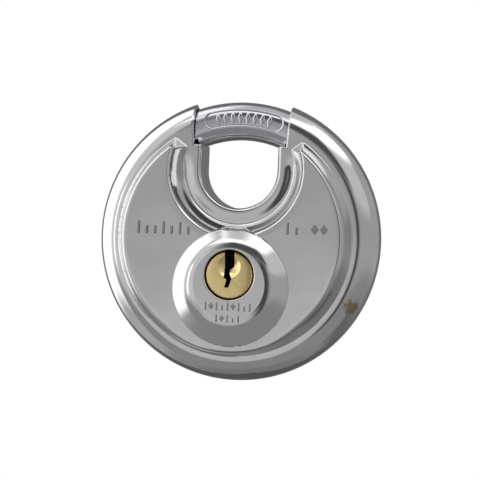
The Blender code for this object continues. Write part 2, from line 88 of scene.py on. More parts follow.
# The raised face: its edge, the fillets there, how it rolls over, and its lower bulge
FACE_R = 26.85
FACE_SHIFT = -0.35
FACE_FILLET = 0.55
FACE_RIDGE = 1.2
FOOT_FILLET = 0.45
ROLL_SLOPE = 0.176
ROLL_WIDTH = 1.15
ROLL_FILLET = 0.04
LOW_BULGE = 0.8
LOW_START, LOW_RUN = 0.78, 0.2
HORN_WAY = (0.602, 0.799)
HORN_RUN = 2.4

# The U opening: its wall, the bead and the groove of its lip, and the face's edge round it
U_R = 9.45
U_Y = 16.8
U_STRAIGHT = 1.75
U_LIP = RIM_R - U_STRAIGHT
U_FOOT = U_R + U_LIP
U_EDGE = 16.8
U_BEAD = 1.15
U_BEND = 1.25
U_CREST = U_R + U_BEAD
U_FILLET = 0.3
GROOVE = 0.42
GROOVE_W = 13.3
GROOVE_RISE = 0.9
GROOVE_END = 16.5
GROOVE_FADE = 4.5

# The mouths that the bar comes out of, and the ledges below them
LEDGE_Y = 22.75
MOUTH_X = 11.4
MOUTH_SPREAD = 0.067
MOUTH_EDGE = 0.45

# The boss, a leaning cone with a skirt round its foot, and the plug's hole
BOSS_BASE_R, BOSS_TOP_R = 14.0, 10.0
BOSS_BASE_Y, BOSS_TOP_Y = -12.1, -11.4
BOSS_FILLET = 0.42
BOSS_FOOT_FILLET = 0.2
BOSS_ROLL = 0.75
BOSS_ROLL_SHARE = 0.32
BOSS_ROLL_FILLET = 0.03
SKIRT_R = 14.2
SKIRT_RUN = 1.0
SKIRT_FILLET = 0.4
BESIDE_U = 1.2
BESIDE_U_RUN = 1.1
BESIDE_U_FILLET = 0.3
HOLE_R = 6.02
HOLE_EDGE = 0.35

# The case's mesh
RIM_STEPS = 640
RING_GAP = 0.17
CLOSEST = 0.13

# The shackle's bar, and the sunk panel on it with its row of lozenges
BAR_R = 4.7
BAR_DEPTH = 4.55
BAR_SHOULDER = 0.42
BAR_RING = SHACKLE_HIGH - BAR_R
TOE, HEEL = -32.0, 166.0
TOE_LENGTH = 1.7
PANEL_MIDDLE = 1.0
PANEL_HALF = 19.3
PANEL_INNER, PANEL_OUTER = 27.55, 31.75
PANEL_DEPTH = 0.22
PANEL_EDGE = 0.36
RIB_COUNT = 8
RIB_PITCH = 3.55
RIB_HALF = (0.52, 1.5)
RIB_EDGE = 0.3
RIB_SHARE = 0.8

# The plug's front, with the key's guide dish: its rim, its sphere and its place from the plug's axis
PLUG_CHAMFER = 0.3
DISH_R, DISH_SPHERE_R = 2.85, 4.2
DISH_PLACE = (0.05, 2.1)

# The materials' textures, the keyway's painted shade, and the stain on the rim
TONE_SCALE, GRAIN_SCALE, DENT_SCALE = 60.0, 900.0, 75.0
# Painted shade: the colour the brass turns to inside the keyway, where shade falls
KEYWAY_PAINTED_SHADE = (0.06, 0.05, 0.035)
STAIN_COLOUR = (0.40, 0.33, 0.22)
STAIN_R = 5.0
STAIN_ANGLE, STAIN_RING, STAIN_HEIGHT = 119, 32.6, 4.6
RAGGED_SCALE = 700.0

# The camera, the tent and the floor, in degrees and metres
CAMERA_AZIMUTH, CAMERA_ELEVATION, CAMERA_ROLL = 9.5, -0.5, 2.3
CAMERA_DISTANCE = 0.495
CAMERA_LENS = 150
CAMERA_AIM_Z = (CENTRE_Z - 0.35) * MM
TENT_R = 2.2
FLOOR_HALF = 2.0
FLOOR_GAP = 0.0005


# ---------------------------------------------------------------- small helpers


def to_world(points):
    """Face-frame millimetres to row-frame metres."""
    p = np.asarray(points, float)
    return np.stack([p[:, 0], -p[:, 2], p[:, 1] + CENTRE_Z], axis=1) * MM


def polar(radius, degrees, centre=(0.0, 0.0)):
    """The point at this radius and angle, counted clockwise from straight up."""
    a = math.radians(degrees)
    return (centre[0] + radius * math.sin(a), centre[1] + radius * math.cos(a))


def arc(radius, start, end, steps, centre=(0.0, 0.0)):
    """Points from one angle to another, both ends among them."""
    return [polar(radius, start + (end - start) * i / steps, centre) for i in range(steps + 1)]


def step(value, width):
    """0 below 0, 1 above the width, and smooth between."""
    t = np.clip(value / width, 0, 1)
    return t * t * (3 - 2 * t)


def linked(name, data):
    """A new object of the scene."""
    obj = bpy.data.objects.new(name, data)
    bpy.context.scene.collection.objects.link(obj)
    return obj


def new_piece(name, points, faces, material, body, replaced=()):
    """A mesh piece from face-frame points, riding on its body."""
    mesh = bpy.data.meshes.new(name)
    mesh.from_pydata(to_world(points).tolist(), [], [list(map(int, f)) for f in faces])
    mesh.update()
    obj = linked(name, mesh)
    mesh.materials.append(material)
    mesh.shade_smooth()
    dress(obj, body, replaced)
    return obj


def dress(obj, body, replaced=()):
    """Parents a piece to its body's empty, and hides the CAD nodes it stands for."""
    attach(obj, body)
    if replaced:
        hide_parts(*replaced)


def prism(outline, low, high):
    """A bmesh of a flat outline between two heights, in the face frame."""
    bm = bmesh.new()
    bottom = [bm.verts.new((x, y, low)) for x, y in outline]
    top = [bm.verts.new((x, y, high)) for x, y in outline]
    count = len(outline)
    for i in range(count):
        j = (i + 1) % count
        bm.faces.new((bottom[i], bottom[j], top[j], top[i]))
    bm.faces.new(bottom[::-1])
    bm.faces.new(top)
    bmesh.ops.recalc_face_normals(bm, faces=bm.faces)
    return bm


def turned(profile, steps, centre=(0.0, 0.0)):
    """A bmesh of a closed (radius, z) profile turned about z."""
    bm = bmesh.new()
    rings = []
    for i in range(steps):
        a = 2 * math.pi * i / steps
        x, y = math.cos(a), math.sin(a)
        rings.append([bm.verts.new((centre[0] + r * x, centre[1] + r * y, z)) for r, z in profile])
    for i in range(steps):
        here, there = rings[i], rings[(i + 1) % steps]
        for j in range(len(profile)):
            k = (j + 1) % len(profile)
            bm.faces.new((here[j], there[j], there[k], here[k]))
    bmesh.ops.remove_doubles(bm, verts=bm.verts, dist=1e-5)
    bmesh.ops.recalc_face_normals(bm, faces=bm.faces)
    return bm


def object_from(bm, name):
    """A bmesh in the face frame as an object in the row frame."""
    points = to_world([tuple(v.co) for v in bm.verts])
    for vertex, place in zip(bm.verts, points):
        vertex.co = place
    mesh = bpy.data.meshes.new(name)
    bm.to_mesh(mesh)
    bm.free()
    return linked(name, mesh)


def cut(obj, *others):
    """Cuts the others out of obj, and uses them up."""
    for other in others:
        modifier = obj.modifiers.new("cut", "BOOLEAN")
        modifier.operation = "DIFFERENCE"
        modifier.solver = "MANIFOLD"
        modifier.object = other
    graph = bpy.context.evaluated_depsgraph_get()
    result = bpy.data.meshes.new_from_object(obj.evaluated_get(graph))
    obj.modifiers.clear()
    obj.data = result
    for other in others:
        bpy.data.objects.remove(other)


def bevel(obj, width, segments, angle):
    """Rounds the sharp edges and keeps the round sides smooth."""
    modifier = obj.modifiers.new("edges", "BEVEL")
    modifier.width = width * MM
    modifier.segments = segments
    modifier.limit_method = "ANGLE"
    modifier.angle_limit = math.radians(angle)
    modifier.harden_normals = True
    obj.data.shade_smooth()


# ---------------------------------------------------------------- heights of the pressed case


class Field:
    """A value at each point, with its slopes along x and y."""

    def __init__(self, value, dx, dy):
        self.value, self.dx, self.dy = value, dx, dy

    def through(self, value, slope):
        """A function of this field: its values, and its derivative by this field."""
        return Field(value, slope * self.dx, slope * self.dy)

    def plus(self, other, sign=1.0):
        parts = ((self.value, other.value), (self.dx, other.dx), (self.dy, other.dy))
        return Field(*(mine + sign * theirs for mine, theirs in parts))


def constant(like, number):
    """A level field."""
    return Field(np.full_like(like.value, number), np.zeros_like(like.dx), np.zeros_like(like.dy))


def smooth_min(a, b, width):
    """The lower of two fields, with a fillet where they cross."""
    share = np.clip(0.5 + 0.5 * (b.value - a.value) / width, 0, 1)
    value = b.value * (1 - share) + a.value * share - width * share * (1 - share)
    return Field(value, a.dx * share + b.dx * (1 - share), a.dy * share + b.dy * (1 - share))


def smooth_max(a, b, width):
    """The higher of two fields, with a fillet where they cross."""
    zero = constant(a, 0.0)
    lower = smooth_min(zero.plus(a, -1), zero.plus(b, -1), width)
    return zero.plus(lower, -1)


def distance(x, y, centre_y=0.0):
    """How far a point is from a centre on the y axis."""
    d = np.maximum(np.hypot(x, y - centre_y), 1e-9)
    return Field(d, x / d, (y - centre_y) / d)


def u_distance(x, y):
    """How far a point is from the middle of the U opening: its half-width there."""
    low = distance(x, y, U_Y)
    above = y > U_Y
    return Field(
        np.where(above, np.abs(x), low.value),
        np.where(above, np.sign(x), low.dx),
        np.where(above, 0.0, low.dy),
    )


def round_edge(d, radius):
    """How far a rounded edge has dropped at distance d from the rim of the sheet."""
    inside = np.clip(radius - d.value, 0, radius)
    root = np.sqrt(np.maximum(radius**2 - inside**2, (0.12 * radius) ** 2))
    slope = np.where(inside > 0, -inside / root, 0.0)
    return d.through(np.where(inside > 0, radius - root, 0.0), slope)


def mouth_distance(x, y):
    """Distance from the gap between the mouths, and from the ledges under it."""
    across = np.abs(x) - (MOUTH_X + MOUTH_SPREAD * (y - LEDGE_Y))
    below = LEDGE_Y - y
    a, b = np.maximum(across, 0), np.maximum(below, 0)
    d = np.maximum(np.hypot(a, b), 1e-9)
    return Field(np.hypot(a, b), a / d * np.sign(x), -b / d - a / d * MOUTH_SPREAD)


def boss_share(x, y):
    """From 0 at the boss's foot to 1 at its top edge, along its leaning cone."""
    shift, shrink = BOSS_TOP_Y - BOSS_BASE_Y, BOSS_BASE_R - BOSS_TOP_R
    yy = y - BOSS_BASE_Y
    a = shrink**2 - shift**2
    b = 2 * (shrink * BOSS_BASE_R - shift * yy)
    c = BOSS_BASE_R**2 - x**2 - yy**2
    k = (b - np.sqrt(np.maximum(b**2 - 4 * a * c, 1e-6))) / (2 * a)
    k = np.clip(k, -2.0, 1.6)
    slope = 2 * shrink * (BOSS_BASE_R - shrink * k) - 2 * shift * (yy - shift * k)
    slope = np.where(np.abs(slope) < 1e-3, 1e-3, slope)
    return Field(k, -2 * x / slope, -2 * (yy - shift * k) / slope)


def rolled_face(distances, rise):
    """The flat face, rolling over a little before each of its edges."""
    flat = constant(distances[0], rise)
    for past in distances:
        rolled = past.through(rise - ROLL_SLOPE * (past.value + ROLL_WIDTH), -ROLL_SLOPE)
        flat = smooth_min(flat, rolled, ROLL_FILLET)
    return flat


def falling(past, run, rise):
    """The slope from a face's edge to its foot, `run` beyond the edge."""
    drop = rise - ROLL_SLOPE * ROLL_WIDTH
    return past.through(drop * (1 - past.value / run), -drop / run)


def rounding(past, run, rise):
    """A slope that bends over from level at its edge to steep at its foot."""
    drop = rise - ROLL_SLOPE * ROLL_WIDTH
    share = np.maximum(past.value, 0.0) / run
    return past.through(drop * (1 - share**U_BEND), -U_BEND * drop * share ** (U_BEND - 1) / run)


def horn_distance(x, y):
    """How far past the face's corner beside the mouth, towards the mouth."""
    corner_y = (FACE_R**2 + U_Y**2 - U_EDGE**2) / (2 * U_Y)
    corner_x = math.sqrt(FACE_R**2 - corner_y**2)
    side = np.where(x < 0, -1.0, 1.0)
    past = (corner_x - x * side) * HORN_WAY[0] + (y - corner_y) * HORN_WAY[1]
    return Field(past, -side * HORN_WAY[0], np.full_like(y, HORN_WAY[1]))


def rim_height(r):
    """The quarter round from the crown down to the seam."""
    over = np.clip(r.value - CROWN_R, 0, RIM_R)
    z = np.sqrt(np.maximum(RIM_R**2 - over**2, 1e-4))
    return r.through(z, -over / z)


def lip_height(w, y):
    """The lip of the U opening: a bead at its wall, and a groove that fades out upwards."""
    under = np.clip(U_CREST - w.value, 0, U_BEAD)
    bead_z = np.sqrt(np.maximum(U_BEAD**2 - under**2, 1e-4))
    bead = w.through(RIM_R - U_BEAD + bead_z, under / bead_z)
    depth, slope = 0.0, 0.0
    for start, end, way in ((U_CREST, GROOVE_W, -1), (GROOVE_W, GROOVE_W + GROOVE_RISE, 1)):
        share = np.clip((w.value - start) / (end - start), 0, 1)
        depth = depth + way * GROOVE * share**2 * (3 - 2 * share)
        slope = slope + way * GROOVE * 6 * share * (1 - share) / (end - start)
    up = np.clip((y - GROOVE_END) / GROOVE_FADE, 0, 1)
    fade = 1 - step(up, 1.0)
    groove = w.through(depth * fade, slope * fade)
    groove.dy = groove.dy - depth * 6 * up * (1 - up) / GROOVE_FADE
    return bead.plus(groove)


def face_height(x, y, r, rise):
    """The raised face above the crown, between the rim, the U opening and the horns."""
    round_u = distance(x, y, U_Y)
    bulge = LOW_BULGE * step(-y / r.value - LOW_START, LOW_RUN)
    around = distance(x - FACE_SHIFT, y)
    past_rim = around.through(around.value - FACE_R - bulge, 1.0)
    past_u = round_u.through(U_EDGE - round_u.value, -1.0)
    past_horn = horn_distance(x, y)
    to_rim = falling(past_rim, CROWN_R - FACE_R - bulge, rise)
    slopes = smooth_min(to_rim, rounding(past_u, U_EDGE - U_FOOT, rise), FACE_RIDGE)
    slopes = smooth_min(slopes, falling(past_horn, HORN_RUN, rise), FACE_RIDGE)
    return smooth_min(rolled_face([past_rim, past_u, past_horn], rise), slopes, FACE_FILLET)


def boss_on_face(face, x, y, w, rise):
    """The face with the boss on it: its cone and skirt, cut short beside the U opening."""
    k = boss_share(x, y)
    tall = BOSS_TOP - FACE_TOP
    cone = k.through(rise + tall * k.value, tall)
    skirt = distance(x, y, BOSS_BASE_Y)
    skirt = falling(skirt.through(skirt.value - SKIRT_R, 1.0), SKIRT_RUN, rise)
    beside_u = w.through(U_FOOT + BESIDE_U - w.value, -1.0)
    beside_u = falling(beside_u, BESIDE_U_RUN, rise)
    standing = smooth_min(smooth_min(cone, skirt, SKIRT_FILLET), beside_u, BESIDE_U_FILLET)
    face = smooth_max(face, standing, BOSS_FOOT_FILLET)
    roll = k.through(tall + BOSS_ROLL * (k.value - 1.0 - BOSS_ROLL_SHARE), BOSS_ROLL)
    top = smooth_min(constant(k, tall), roll, BOSS_ROLL_FILLET).plus(constant(k, rise))
    above = smooth_min(cone, top, BOSS_FILLET)
    raised = k.value > 0.05
    pairs = ((above.value, face.value), (above.dx, face.dx), (above.dy, face.dy))
    return Field(*(np.where(raised, high, low) for high, low in pairs))


def case_height(x, y, with_boss, rounded=True):
    """The outside of one pressed half above the seam plane, with or without its rounded cut edges."""
    r, w = distance(x, y), u_distance(x, y)
    rim = rim_height(r)
    base = smooth_min(rim, lip_height(w, y), U_FILLET)
    rise = FACE_TOP - RIM_R
    face = face_height(x, y, r, rise)
    if with_boss:
        face = boss_on_face(face, x, y, w, rise)
    height = base.plus(smooth_max(face, constant(r, 0.0), FOOT_FILLET))
    if not rounded:
        return height
    if with_boss:
        hole = distance(x, y, PLUG_Y)
        hole.value = hole.value - HOLE_R
        height = height.plus(round_edge(hole, HOLE_EDGE), -1)
    edge = round_edge(mouth_distance(x, y), MOUTH_EDGE)
    share = (rim.value / RIM_R) ** 2
    return height.plus(Field(edge.value * share, edge.dx * share, edge.dy * share), -1)


# ---------------------------------------------------------------- the case's mesh


def mouth_top():
    """Where a mouth's cut meets the rim's outline."""
    y = CASE_R
    for _ in range(20):
        x = MOUTH_X + MOUTH_SPREAD * (y - LEDGE_Y)
        y = math.sqrt(CASE_R**2 - x**2)
    return x, y


def case_outline():
    """The pressed half's outline, anticlockwise from the right-hand ledge."""
    x, y = mouth_top()
    mouth = math.degrees(math.atan2(x, y))
    ledge = [(U_R + (MOUTH_X - U_R) * i / 6, LEDGE_Y) for i in range(7)]
    cut = [(MOUTH_X + (x - MOUTH_X) * i / 60, LEDGE_Y + (y - LEDGE_Y) * i / 60) for i in range(1, 60)]
    rim = arc(CASE_R, mouth, 360 - mouth, RIM_STEPS)
    mirrored = [(-px, py) for px, py in reversed(ledge + cut)]
    side = [(-U_R, LEDGE_Y - (LEDGE_Y - U_Y) * i / 14) for i in range(1, 14)]
    bottom = arc(U_R, 270, 90, 90, (0.0, U_Y))
    other = [(-px, py) for px, py in reversed(side)]
    return ledge + cut + rim + mirrored + side + bottom + other


def inside_case(x, y, margin, with_boss):
    """Which points are on the sheet, by more than this margin."""
    w, r = u_distance(x, y).value, np.hypot(x, y)
    gap = mouth_distance(x, y).value
    across = np.abs(x) - (MOUTH_X + MOUTH_SPREAD * (y - LEDGE_Y))
    kept = (w > U_R + margin) & (r < CASE_R - margin) & ((y < LEDGE_Y) | (across > 0)) & (gap > margin)
    if with_boss:
        kept &= np.hypot(x, y - PLUG_Y) > HOLE_R + margin
    return kept


def rim_samples():
    """Rings round the rim and the face's edge, on the outline's own angles."""
    mouth = math.degrees(math.atan2(*mouth_top()))
    turns = np.radians(np.linspace(mouth, 360 - mouth, RIM_STEPS + 1))
    steps = np.radians(np.concatenate([[0.6, 1.8], np.linspace(0, 90, 26)[1:-1]]))
    rings = list(CROWN_R + RIM_R * np.sin(steps))
    rings += list(np.arange(FACE_R - 1.4, CROWN_R + 0.1, RING_GAP))
    return [np.stack([r * np.sin(turns), r * np.cos(turns)], 1) for r in rings]


def u_samples():
    """Lines along the U opening, from its lip to the face's edge."""
    lines = list(U_CREST - U_BEAD * np.cos(np.radians(np.linspace(0, 90, 17)[1:])))
    lines += list(np.arange(U_CREST + 0.2, U_FOOT, 0.2))
    lines += list(np.arange(U_FOOT + RING_GAP, U_EDGE + 1.4, RING_GAP))
    families = []
    for w in lines:
        y = np.arange(U_Y, CASE_R, 0.3)
        families += [np.stack([np.full_like(y, side * w), y], 1) for side in (-1, 1)]
        a = np.radians(np.arange(90, 270.1, 0.3 / w * 57.3))
        families.append(np.stack([w * np.sin(a), U_Y + w * np.cos(a)], 1))
    return families


def mouth_samples():
    """Lines beside the mouths' cut edges."""
    families = []
    for d in (0.05, 0.12, 0.2, 0.3, 0.42):
        y = np.arange(LEDGE_Y, CASE_R, 0.25)
        x = MOUTH_X + MOUTH_SPREAD * (y - LEDGE_Y) + d
        families += [np.stack([side * x, y], 1) for side in (-1, 1)]
    return families


def boss_samples():
    """Rings round the plug's hole, and up the boss."""
    families = []
    for i, d in enumerate((0.06, 0.13, 0.22, 0.34, 0.6)):
        families.append(np.array(arc(HOLE_R + d, i, i + 358, 180, (0.0, PLUG_Y))))
    for i, k in enumerate(np.arange(-0.22, 1.5, 0.05)):
        radius = BOSS_BASE_R + (BOSS_TOP_R - BOSS_BASE_R) * k
        centre = (0.0, BOSS_BASE_Y + (BOSS_TOP_Y - BOSS_BASE_Y) * k)
        families.append(np.array(arc(radius, i % 2, 358.5 + i % 2, 239, centre)))
    return families


def sample_points(with_boss):
    """Points that follow the case's shape where it bends, and an even spread over the rest."""
    families = rim_samples() + u_samples() + mouth_samples()
    if with_boss:
        families += boss_samples()
    spread = np.arange(-CASE_R, CASE_R, 0.8)
    gx, gy = np.meshgrid(spread, spread)
    gx = gx + 0.4 * (np.arange(len(spread)) % 2)[:, None]
    families.append(np.stack([gx.ravel(), gy.ravel()], 1))
    return np.concatenate(families)


def thinned(points, outline):
    """Leaves out a point that lies too close to an earlier one, so that no sliver forms."""
    taken = {}

    def cell(x, y):
        return math.floor(x / CLOSEST), math.floor(y / CLOSEST)

    def near(x, y):
        i, j = cell(x, y)
        limit = CLOSEST if math.hypot(x, y) < CASE_R - 0.6 else 0.3 * CLOSEST
        for di in (-1, 0, 1):
            for dj in (-1, 0, 1):
                for qx, qy in taken.get((i + di, j + dj), ()):
                    if (qx - x) ** 2 + (qy - y) ** 2 < limit**2:
                        return True
        return False

    for place in outline:
        taken.setdefault(cell(*place), []).append(place)
    kept = []
    for place in points:
        if not near(*place):
            taken.setdefault(cell(*place), []).append(place)
            kept.append(place)
    return kept


def pressed_half(name, with_boss, material, replaced):
    """One pressed half as a closed sheet: its outside, its inside and the edges between them."""
    outline = case_outline()
    loops = [outline]
    if with_boss:
        loops.append(arc(HOLE_R, 0, 358, 179, (0.0, PLUG_Y)))
    points = sample_points(with_boss)
    points = points[inside_case(points[:, 0], points[:, 1], 0.03, with_boss)]
    fixed = [p for loop in loops for p in loop]
    free = thinned([tuple(p) for p in points], fixed)
    edges, start = [], 0
    for loop in loops:
        edges += [(start + i, start + (i + 1) % len(loop)) for i in range(len(loop))]
        start += len(loop)
    flat = [Vector(p) for p in fixed + free]
    places, _, triangles = delaunay_2d_cdt(flat, edges, [], 0, 1e-7)[:3]
    xy = np.array([tuple(p) for p in places])
    triangles = np.array([t for t in triangles if len(t) == 3])
    middle = xy[triangles].mean(axis=1)
    triangles = triangles[inside_case(middle[:, 0], middle[:, 1], -1e-6, with_boss)]

    height = case_height(xy[:, 0], xy[:, 1], with_boss)
    z = np.maximum(height.value, SEAM)
    normals = upward(height)
    sheet = case_height(xy[:, 0], xy[:, 1], with_boss, False)
    inside = np.concatenate([xy, sheet.value[:, None]], axis=1) - SHEET * upward(sheet)
    outer = np.concatenate([xy, z[:, None]], axis=1)

    # Anticlockwise seen from outside, then the U opening's straight wall below its lip
    a, b, c = (outer[triangles[:, i], :2] for i in range(3))
    ab, ac = b - a, c - a
    wrong = ab[:, 0] * ac[:, 1] - ab[:, 1] * ac[:, 0] < 0
    triangles[wrong] = triangles[wrong][:, ::-1]
    rim_edges = open_edges(triangles)
    wall = u_distance(xy[:, 0], xy[:, 1])
    on_wall = (wall.value < U_R + 1e-4) & (xy[:, 1] < LEDGE_Y + 1e-4)
    skirt, extra = {}, []
    for i in np.nonzero(on_wall)[0]:
        skirt[int(i)] = len(outer) + len(extra)
        away = np.array([wall.dx[i], wall.dy[i], 0.0])
        foot = np.array([xy[i, 0], xy[i, 1], SEAM])
        extra.append(foot)
        normals = np.concatenate([normals, [-away]])
        inside = np.concatenate([inside, [foot + SHEET * away]])
    outer = np.concatenate([outer, extra])
    strips = []
    for i, j in rim_edges:
        if i in skirt and j in skirt:
            strips += [(j, i, skirt[i]), (j, skirt[i], skirt[j])]
    triangles = np.concatenate([triangles, strips])

    # The inside of the sheet, and its cut edges
    used = np.unique(triangles)
    renumber = np.full(len(outer), -1)
    renumber[used] = np.arange(len(used))
    outer, normals, inner, triangles = outer[used], normals[used], inside[used], renumber[triangles]
    inner[:, 2] = np.maximum(inner[:, 2], SEAM)
    count = len(outer)
    rims = []
    for i, j in open_edges(triangles):
        rims += [(j, i, i + count), (j, i + count, j + count)]
    faces = np.concatenate([triangles, triangles[:, ::-1] + count, rims])
    every = np.concatenate([outer, inner])
    if not with_boss:
        every = every * np.array([-1, 1, -1])
        normals = normals * np.array([-1, 1, -1])
    obj = new_piece(name, every, faces, material, "case", replaced)
    set_normals(obj, faces, normals, len(triangles))


def upward(height):
    """The unit normals of a height field."""
    normals = np.stack([-height.dx, -height.dy, np.ones(len(height.value))], 1)
    return normals / np.linalg.norm(normals, axis=1)[:, None]


def open_edges(triangles):
    """The directed edges that only one triangle has."""
    ends = np.concatenate([triangles[:, [0, 1]], triangles[:, [1, 2]], triangles[:, [2, 0]]])
    seen = {(int(a), int(b)) for a, b in ends}
    return [(a, b) for a, b in sorted(seen) if (b, a) not in seen]


def set_normals(obj, faces, normals, outer_faces):
    """Exact normals on the outside, turned round on the inside, and flat cut edges."""
    mesh = obj.data
    world = np.stack([normals[:, 0], -normals[:, 2], normals[:, 1]], 1)
    count = len(normals)
    corner = np.zeros((len(mesh.loops), 3))
    index = np.zeros(len(mesh.loops), int)
    mesh.loops.foreach_get("vertex_index", index)
    face_of = np.repeat(np.arange(len(faces)), 3)
    flat = np.zeros(len(mesh.polygons) * 3)
    mesh.polygons.foreach_get("normal", flat)
    flat = flat.reshape(-1, 3)
    outside = face_of < outer_faces
    inside = (face_of >= outer_faces) & (face_of < 2 * outer_faces)
    corner[outside] = world[index[outside]]
    corner[inside] = -world[index[inside] - count]
    edges = ~(outside | inside)
    corner[edges] = flat[face_of[edges]]
    mesh.normals_split_custom_set(corner.tolist())


# ---------------------------------------------------------------- plain raised marks


STROKE = [(-0.5, -0.5), (0.5, -0.5), (0.5, 0.5), (-0.5, 0.5)]
LOZENGE = [(0, -0.5), (0.5, 0), (0, 0.5), (-0.5, 0)]
MARK_SIDE = 0.2


def mark(bm, x, y, width, height, floor, rise, shape):
    """One raised stroke or lozenge with sloping sides."""
    top_width, top_height = width - MARK_SIDE, height - MARK_SIDE
    low = [(x + a * width, y + b * height, floor) for a, b in shape]
    high = [(x + a * top_width, y + b * top_height, floor + rise) for a, b in shape]
    rings = [[bm.verts.new(p) for p in ring] for ring in (low, high)]
    count = len(shape)
    for i in range(count):
        j = (i + 1) % count
        bm.faces.new((rings[0][i], rings[0][j], rings[1][j], rings[1][i]))
    bm.faces.new(rings[1])
    bm.faces.new(rings[0][::-1])


def mark_row(bm, start, pitch, kinds, height, floor, rise):
    """A row of marks: I is a tall stroke, i a short one, o a lozenge and a space nothing."""
    x, y = start
    for kind in kinds:
        if kind == "I":
            mark(bm, x, y, 0.21 * height, height, floor, rise, STROKE)
        elif kind == "i":
            mark(bm, x, y - 0.18 * height, 0.21 * height, 0.64 * height, floor, rise, STROKE)
        elif kind == "o":
            mark(bm, x, y, 0.66 * height, 0.9 * height, floor, rise, LOZENGE)
        x += pitch


def marks(material):
    """Plain rows of raised strokes where a maker would put lettering."""
    bm = bmesh.new()
    face, top = FACE_TOP - 0.16, BOSS_TOP - 0.06
    mark_row(bm, (-23.2, 1.9), 2.05, "IiiIiIi", 3.0, face, 0.24)
    mark_row(bm, (13.4, 2.7), 2.2, "Ii oo", 2.9, face, 0.24)
    mark_row(bm, (-5.4, -16.6), 1.35, "IoIiIoIiI", 2.0, top, 0.16)
    mark_row(bm, (-2.7, -19.5), 1.35, "IoIiI", 1.8, top, 0.16)
    obj = object_from(bm, "face_marks")
    obj.data.materials.append(material)
    dress(obj, "case")


# ---------------------------------------------------------------- shackle


def panel_relief(angle, radius):
    """The sunk panel on the bar's front, with a row of plain raised lozenges in it."""
    middle = (PANEL_INNER + PANEL_OUTER) / 2
    half = (PANEL_OUTER - PANEL_INNER) / 2
    along = np.radians(angle - PANEL_MIDDLE) * middle
    straight = np.radians(PANEL_HALF) * middle - half
    across = radius - middle
    inside = half - np.hypot(np.maximum(np.abs(along) - straight, 0), across)
    relief = -PANEL_DEPTH * step(inside, PANEL_EDGE)
    for i in range(RIB_COUNT):
        place = PANEL_MIDDLE + RIB_PITCH * (i - (RIB_COUNT - 1) / 2)
        away = np.abs(np.radians(angle - place) * middle) / RIB_HALF[0] + np.abs(across) / RIB_HALF[1]
        relief = relief + RIB_SHARE * PANEL_DEPTH * step(1.15 - away, RIB_EDGE)
    return relief


def bar_stations():
    """The angles of the bar's sections, close together where it crosses the opening."""
    start, end = -23.0, 25.0
    toe = [TOE + TOE_LENGTH * (1 - math.cos(math.radians(a))) for a in range(0, 91, 15)]
    before = np.arange(TOE + 2.5, start - 0.2, 0.8)
    after = np.arange(end, HEEL - 1, 1.5)
    return np.concatenate([toe, before, np.arange(start, end, 0.16), after, [HEEL]])


def bar_turns():
    """The points round one section, close together under the panel."""
    flat = np.linspace(PANEL_OUTER + 0.45, PANEL_INNER - 0.45, 34)
    front = [math.degrees(math.acos(np.clip((r - BAR_RING) / BAR_R, -1, 1))) for r in flat]
    outer = np.linspace(0, front[0], 15)[:-1]
    inner = np.linspace(front[-1], 180, 18)[1:]
    back = np.linspace(180, 360, 37)[1:-1]
    return np.radians(np.concatenate([outer, front, inner, back]))


def bar_section(angle, turns):
    """The radii and heights of one section: round, flattened front and back, and rounded at the toe."""
    end = min(max((angle - TOE) / TOE_LENGTH, 0.0), 1.0)
    shrink = 1 - 0.2 * (1 - math.sqrt(max(1 - (1 - end) ** 2, 0)))
    radius = BAR_RING + BAR_R * np.cos(turns) * shrink
    rise = BAR_R * np.sin(turns) * shrink
    high = np.abs(rise)
    share = np.clip(0.5 + 0.5 * (BAR_DEPTH - high) / BAR_SHOULDER, 0, 1)
    depth = BAR_DEPTH * (1 - share) + high * share - BAR_SHOULDER * share * (1 - share)
    z = np.sign(rise) * np.maximum(depth, 0)
    return radius, z + np.where(rise > 1.0, panel_relief(angle, radius), 0.0)


def shackle_bar(material):
    """The crescent bar, from its toe in the left mouth round to its heel inside the case."""
    angles, turns = bar_stations(), bar_turns()
    ring, points = len(turns), []
    for angle in angles:
        a = math.radians(angle)
        points += [(r * math.sin(a), r * math.cos(a), h) for r, h in zip(*bar_section(angle, turns))]
    faces = []
    for i in range(len(angles) - 1):
        for j in range(ring):
            k = (j + 1) % ring
            faces.append((i * ring + j, i * ring + k, (i + 1) * ring + k, (i + 1) * ring + j))
    faces.append(tuple(range(ring))[::-1])
    faces.append(tuple((len(angles) - 1) * ring + j for j in range(ring)))
    obj = new_piece("shackle_bar", points, faces, material, "shackle", ["shackle"])
    outward(obj)
    obj.data.set_sharp_from_angle(angle=math.radians(50))


def outward(obj):
    """Turns every face outwards."""
    bm = bmesh.new()
    bm.from_mesh(obj.data)
    bmesh.ops.recalc_face_normals(bm, faces=bm.faces)
    bm.to_mesh(obj.data)
    bm.free()


# ---------------------------------------------------------------- materials


def add(tree, kind, **settings):
    """A node with these settings, which are its own or its inputs'."""
    node = tree.nodes.new(kind)
    for key, value in settings.items():
        if hasattr(node, key):
            setattr(node, key, value)
        else:
            node.inputs[key.replace("_", " ")].default_value = value
    return node


def object_place(tree):
    """Where a point is on its object."""
    return add(tree, "ShaderNodeTexCoord").outputs["Object"]


def noise(tree, place, scale, detail, roughness):
    """A cloudy value from 0 to 1."""
    node = add(tree, "ShaderNodeTexNoise", Scale=scale, Detail=detail, Roughness=roughness)
    tree.links.new(place, node.inputs["Vector"])
    return node.outputs["Fac"]


def ranged(tree, source, before, after=(0.0, 1.0)):
    """A value brought from one range to another."""
    node = add(tree, "ShaderNodeMapRange")
    node.inputs["From Min"].default_value, node.inputs["From Max"].default_value = before
    node.inputs["To Min"].default_value, node.inputs["To Max"].default_value = after
    tree.links.new(source, node.inputs["Value"])
    return node.outputs["Result"]


